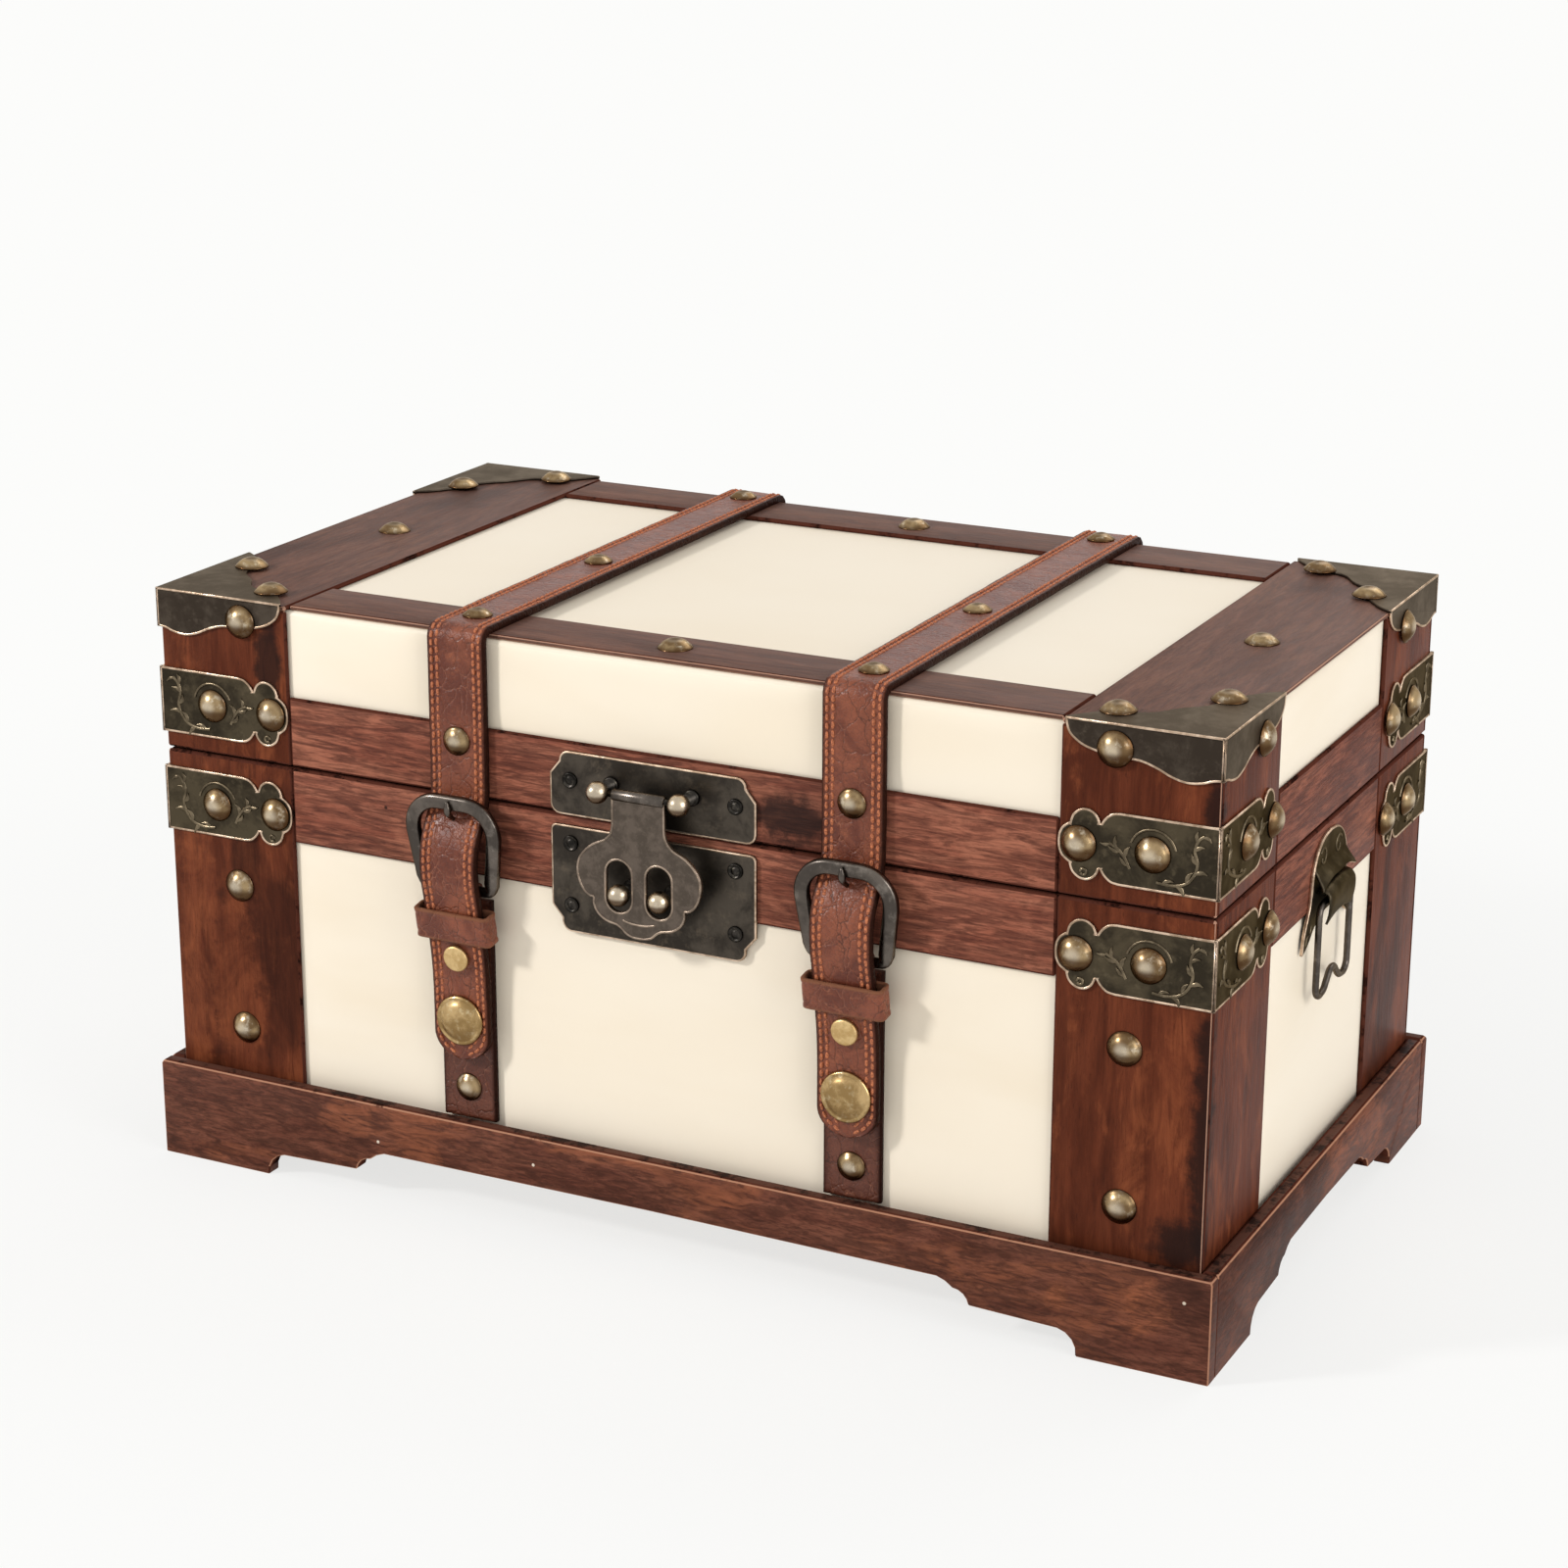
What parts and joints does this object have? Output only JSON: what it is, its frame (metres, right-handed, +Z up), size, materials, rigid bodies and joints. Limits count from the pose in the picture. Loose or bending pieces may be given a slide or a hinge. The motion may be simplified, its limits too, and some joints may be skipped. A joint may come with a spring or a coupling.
{
  "type": "storage trunk",
  "caption": "Small lidded storage trunk with wood strips over a pale covering, buckled leather straps, a hinged hasp latch, stamped corners and end bails.",
  "frame": {"origin": "on the floor, under the middle of the whole trunk, with its latch and plinth", "axes": "+X to the right along the front, -Y out of the front with the latch, +Z up"},
  "size_m": [0.4008, 0.2383, 0.2154],
  "materials": {
    "wood_board": "satin",
    "wood_strip": "satin",
    "plinth_wood": "satin",
    "cream_covering": "satin",
    "strap_leather": "satin",
    "dark_metal": "aged",
    "antique_brass": "aged",
    "gunmetal": "satin",
    "magnet_steel": "plain"
  },
  "bodies": {
    "base": {"bottom_panel": "wood_board", "base_front_wall": "wood_board", "base_rear_wall": "wood_board", "base_left_wall": "wood_board", "base_right_wall": "wood_board", "base_covering": "cream_covering", "base_corner_stiles": "wood_strip", "base_rim_rails": "wood_strip", "plinth_front_board": "plinth_wood", "plinth_rear_board": "plinth_wood", "plinth_left_board": "plinth_wood", "plinth_right_board": "plinth_wood", "base_corner_brackets": "dark_metal", "base_dome_nails": "antique_brass", "base_strap_nails": "antique_brass", "base_strap_left": "strap_leather", "base_strap_right": "strap_leather", "snap_magnets": "magnet_steel", "latch_catch_plate": "dark_metal", "latch_catch_plate_rivets": "dark_metal", "latch_knobs": "antique_brass", "handle_plate_left": "dark_metal", "handle_plate_right": "dark_metal", "hinge_base_leaves": "dark_metal", "hinge_pins": "dark_metal"},
    "lid": {"lid_top_panel": "wood_board", "lid_front_wall": "wood_board", "lid_rear_wall": "wood_board", "lid_left_wall": "wood_board", "lid_right_wall": "wood_board", "lid_covering": "cream_covering", "lid_corner_stiles": "wood_strip", "lid_rim_rails": "wood_strip", "lid_top_rails": "wood_strip", "lid_end_boards": "wood_strip", "lid_corner_caps": "dark_metal", "lid_corner_brackets": "dark_metal", "lid_dome_nails": "antique_brass", "lid_strap_nails": "antique_brass", "lid_strap_left": "strap_leather", "lid_strap_right": "strap_leather", "latch_rod_plate": "dark_metal", "latch_rod_plate_rivets": "dark_metal", "latch_ball_rod": "antique_brass", "hinge_lid_leaves": "dark_metal"},
    "hasp": {"latch_hasp": "dark_metal"},
    "flap_left": {"strap_tongue_left": "strap_leather", "strap_keeper_left": "strap_leather", "buckle_chape_left": "strap_leather", "buckle_frame_left": "gunmetal", "buckle_prong_left": "gunmetal", "flap_studs_left": "antique_brass"},
    "flap_right": {"strap_tongue_right": "strap_leather", "strap_keeper_right": "strap_leather", "buckle_chape_right": "strap_leather", "buckle_frame_right": "gunmetal", "buckle_prong_right": "gunmetal", "flap_studs_right": "antique_brass"},
    "bail_left": {"handle_bail_left": "dark_metal"},
    "bail_right": {"handle_bail_right": "dark_metal"}
  },
  "joints": [
    {"name": "lid_hinge", "type": "hinge", "parent": "base", "child": "lid", "pos_m": [0, 0.11607, 0.153], "axis": [-1, 0, 0], "range_deg": [0, 105]},
    {"name": "hasp_swing", "type": "hinge", "parent": "lid", "child": "hasp", "pos_m": [0, -0.11442, 0.1658], "axis": [-1, 0, 0], "range_deg": [0, 130]},
    {"name": "flap_lift_left", "type": "hinge", "parent": "lid", "child": "flap_left", "pos_m": [-0.073, -0.10762, 0.16], "axis": [-1, 0, 0], "range_deg": [0, 90]},
    {"name": "flap_lift_right", "type": "hinge", "parent": "lid", "child": "flap_right", "pos_m": [0.073, -0.10762, 0.16], "axis": [-1, 0, 0], "range_deg": [0, 90]},
    {"name": "bail_swing_left", "type": "hinge", "parent": "base", "child": "bail_left", "pos_m": [-0.19745, 0.00417, 0.128], "axis": [0, 1, 0], "range_deg": [0, 120]},
    {"name": "bail_swing_right", "type": "hinge", "parent": "base", "child": "bail_right", "pos_m": [0.19745, 0.00417, 0.128], "axis": [0, -1, 0], "range_deg": [0, 120]}
  ]
}
